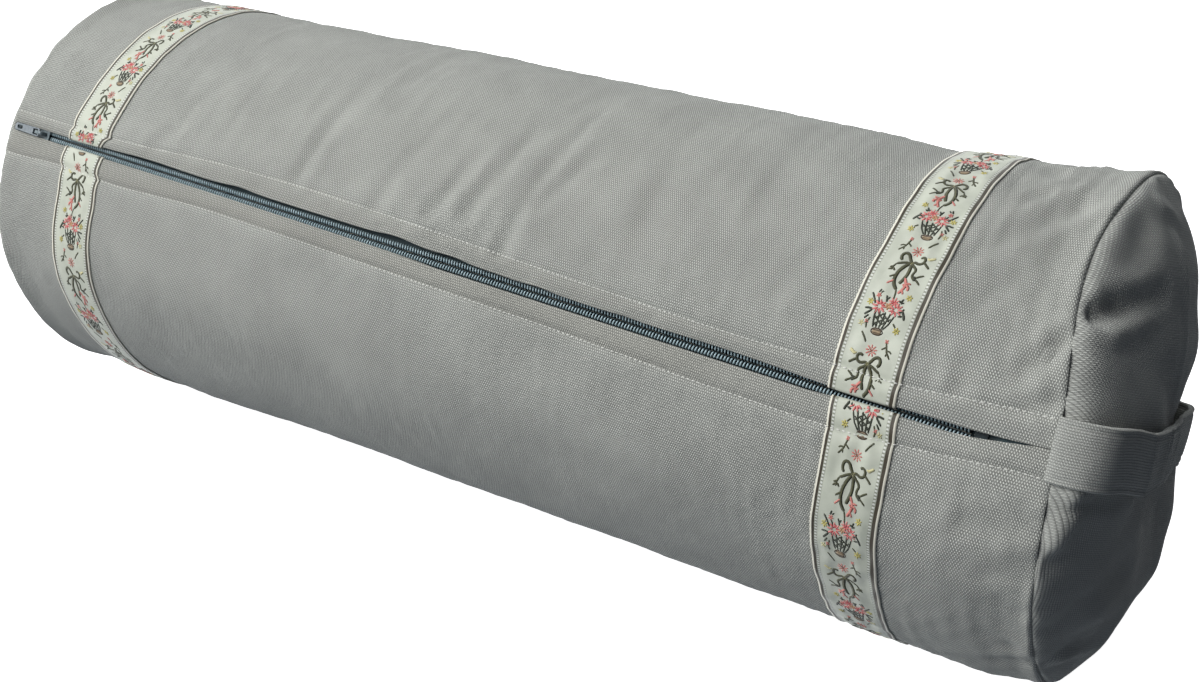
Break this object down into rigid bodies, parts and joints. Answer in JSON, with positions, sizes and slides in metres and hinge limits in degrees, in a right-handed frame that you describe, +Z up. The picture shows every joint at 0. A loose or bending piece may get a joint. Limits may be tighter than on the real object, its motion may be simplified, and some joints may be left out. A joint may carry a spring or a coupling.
{
  "type": "yoga bolster",
  "caption": "Round firm cushion for floor exercise: zipped canvas cover with woven ribbons, domed ends and a carry strap across one end, over a stuffed inner bag.",
  "frame": {"origin": "on the ground, under the middle of the whole bolster's box", "axes": "+X along the bolster towards the end with the carry handle, +Z up, the zip on the -Y side"},
  "size_m": [0.648, 0.2217, 0.2169],
  "materials": {
    "canvas": "matt grey-taupe plain-weave cotton canvas",
    "ribbon": "woven satin ground in pale mint cream with a traditional floral motif",
    "thread": "light grey sewing thread",
    "zip_tape": "woven tape, dark petrol",
    "zip_coil": "nylon, satin, dark petrol",
    "zip_metal": "dark blue-grey enamel",
    "calico": "unbleached cotton",
    "stuffing": "matt, loose"
  },
  "bodies": {
    "bolster": {"cover_tube": "canvas", "cover_end_left": "canvas", "cover_end_right": "canvas", "carry_handle": "canvas", "ribbon_left": "ribbon", "ribbon_right": "ribbon", "topstitch_upper": "thread", "topstitch_lower": "thread", "zip_tape_upper": "zip_tape", "zip_tape_lower": "zip_tape", "zip_coil_upper": "zip_coil", "zip_coil_lower": "zip_coil", "zip_top_stop_upper": "zip_metal", "zip_top_stop_lower": "zip_metal", "zip_bottom_stop": "zip_metal", "inner_bag_tube": "calico", "inner_bag_end_left": "calico", "inner_bag_end_right": "calico", "filling": "stuffing"},
    "slider": {"zip_slider": "zip_metal"},
    "pull": {"zip_pull": "zip_metal"}
  },
  "joints": [
    {"name": "zip_slide", "type": "slide", "parent": "bolster", "child": "slider", "axis": [0.9993, -0.0178, -0.0328], "range_m": [0, 0.5206]},
    {"name": "pull_flip", "type": "hinge", "parent": "slider", "child": "pull", "pos_m": [-0.27357, -0.09215, 0.16734], "axis": [0.0374, 0.4768, 0.8782], "range_deg": [0, 180]}
  ]
}
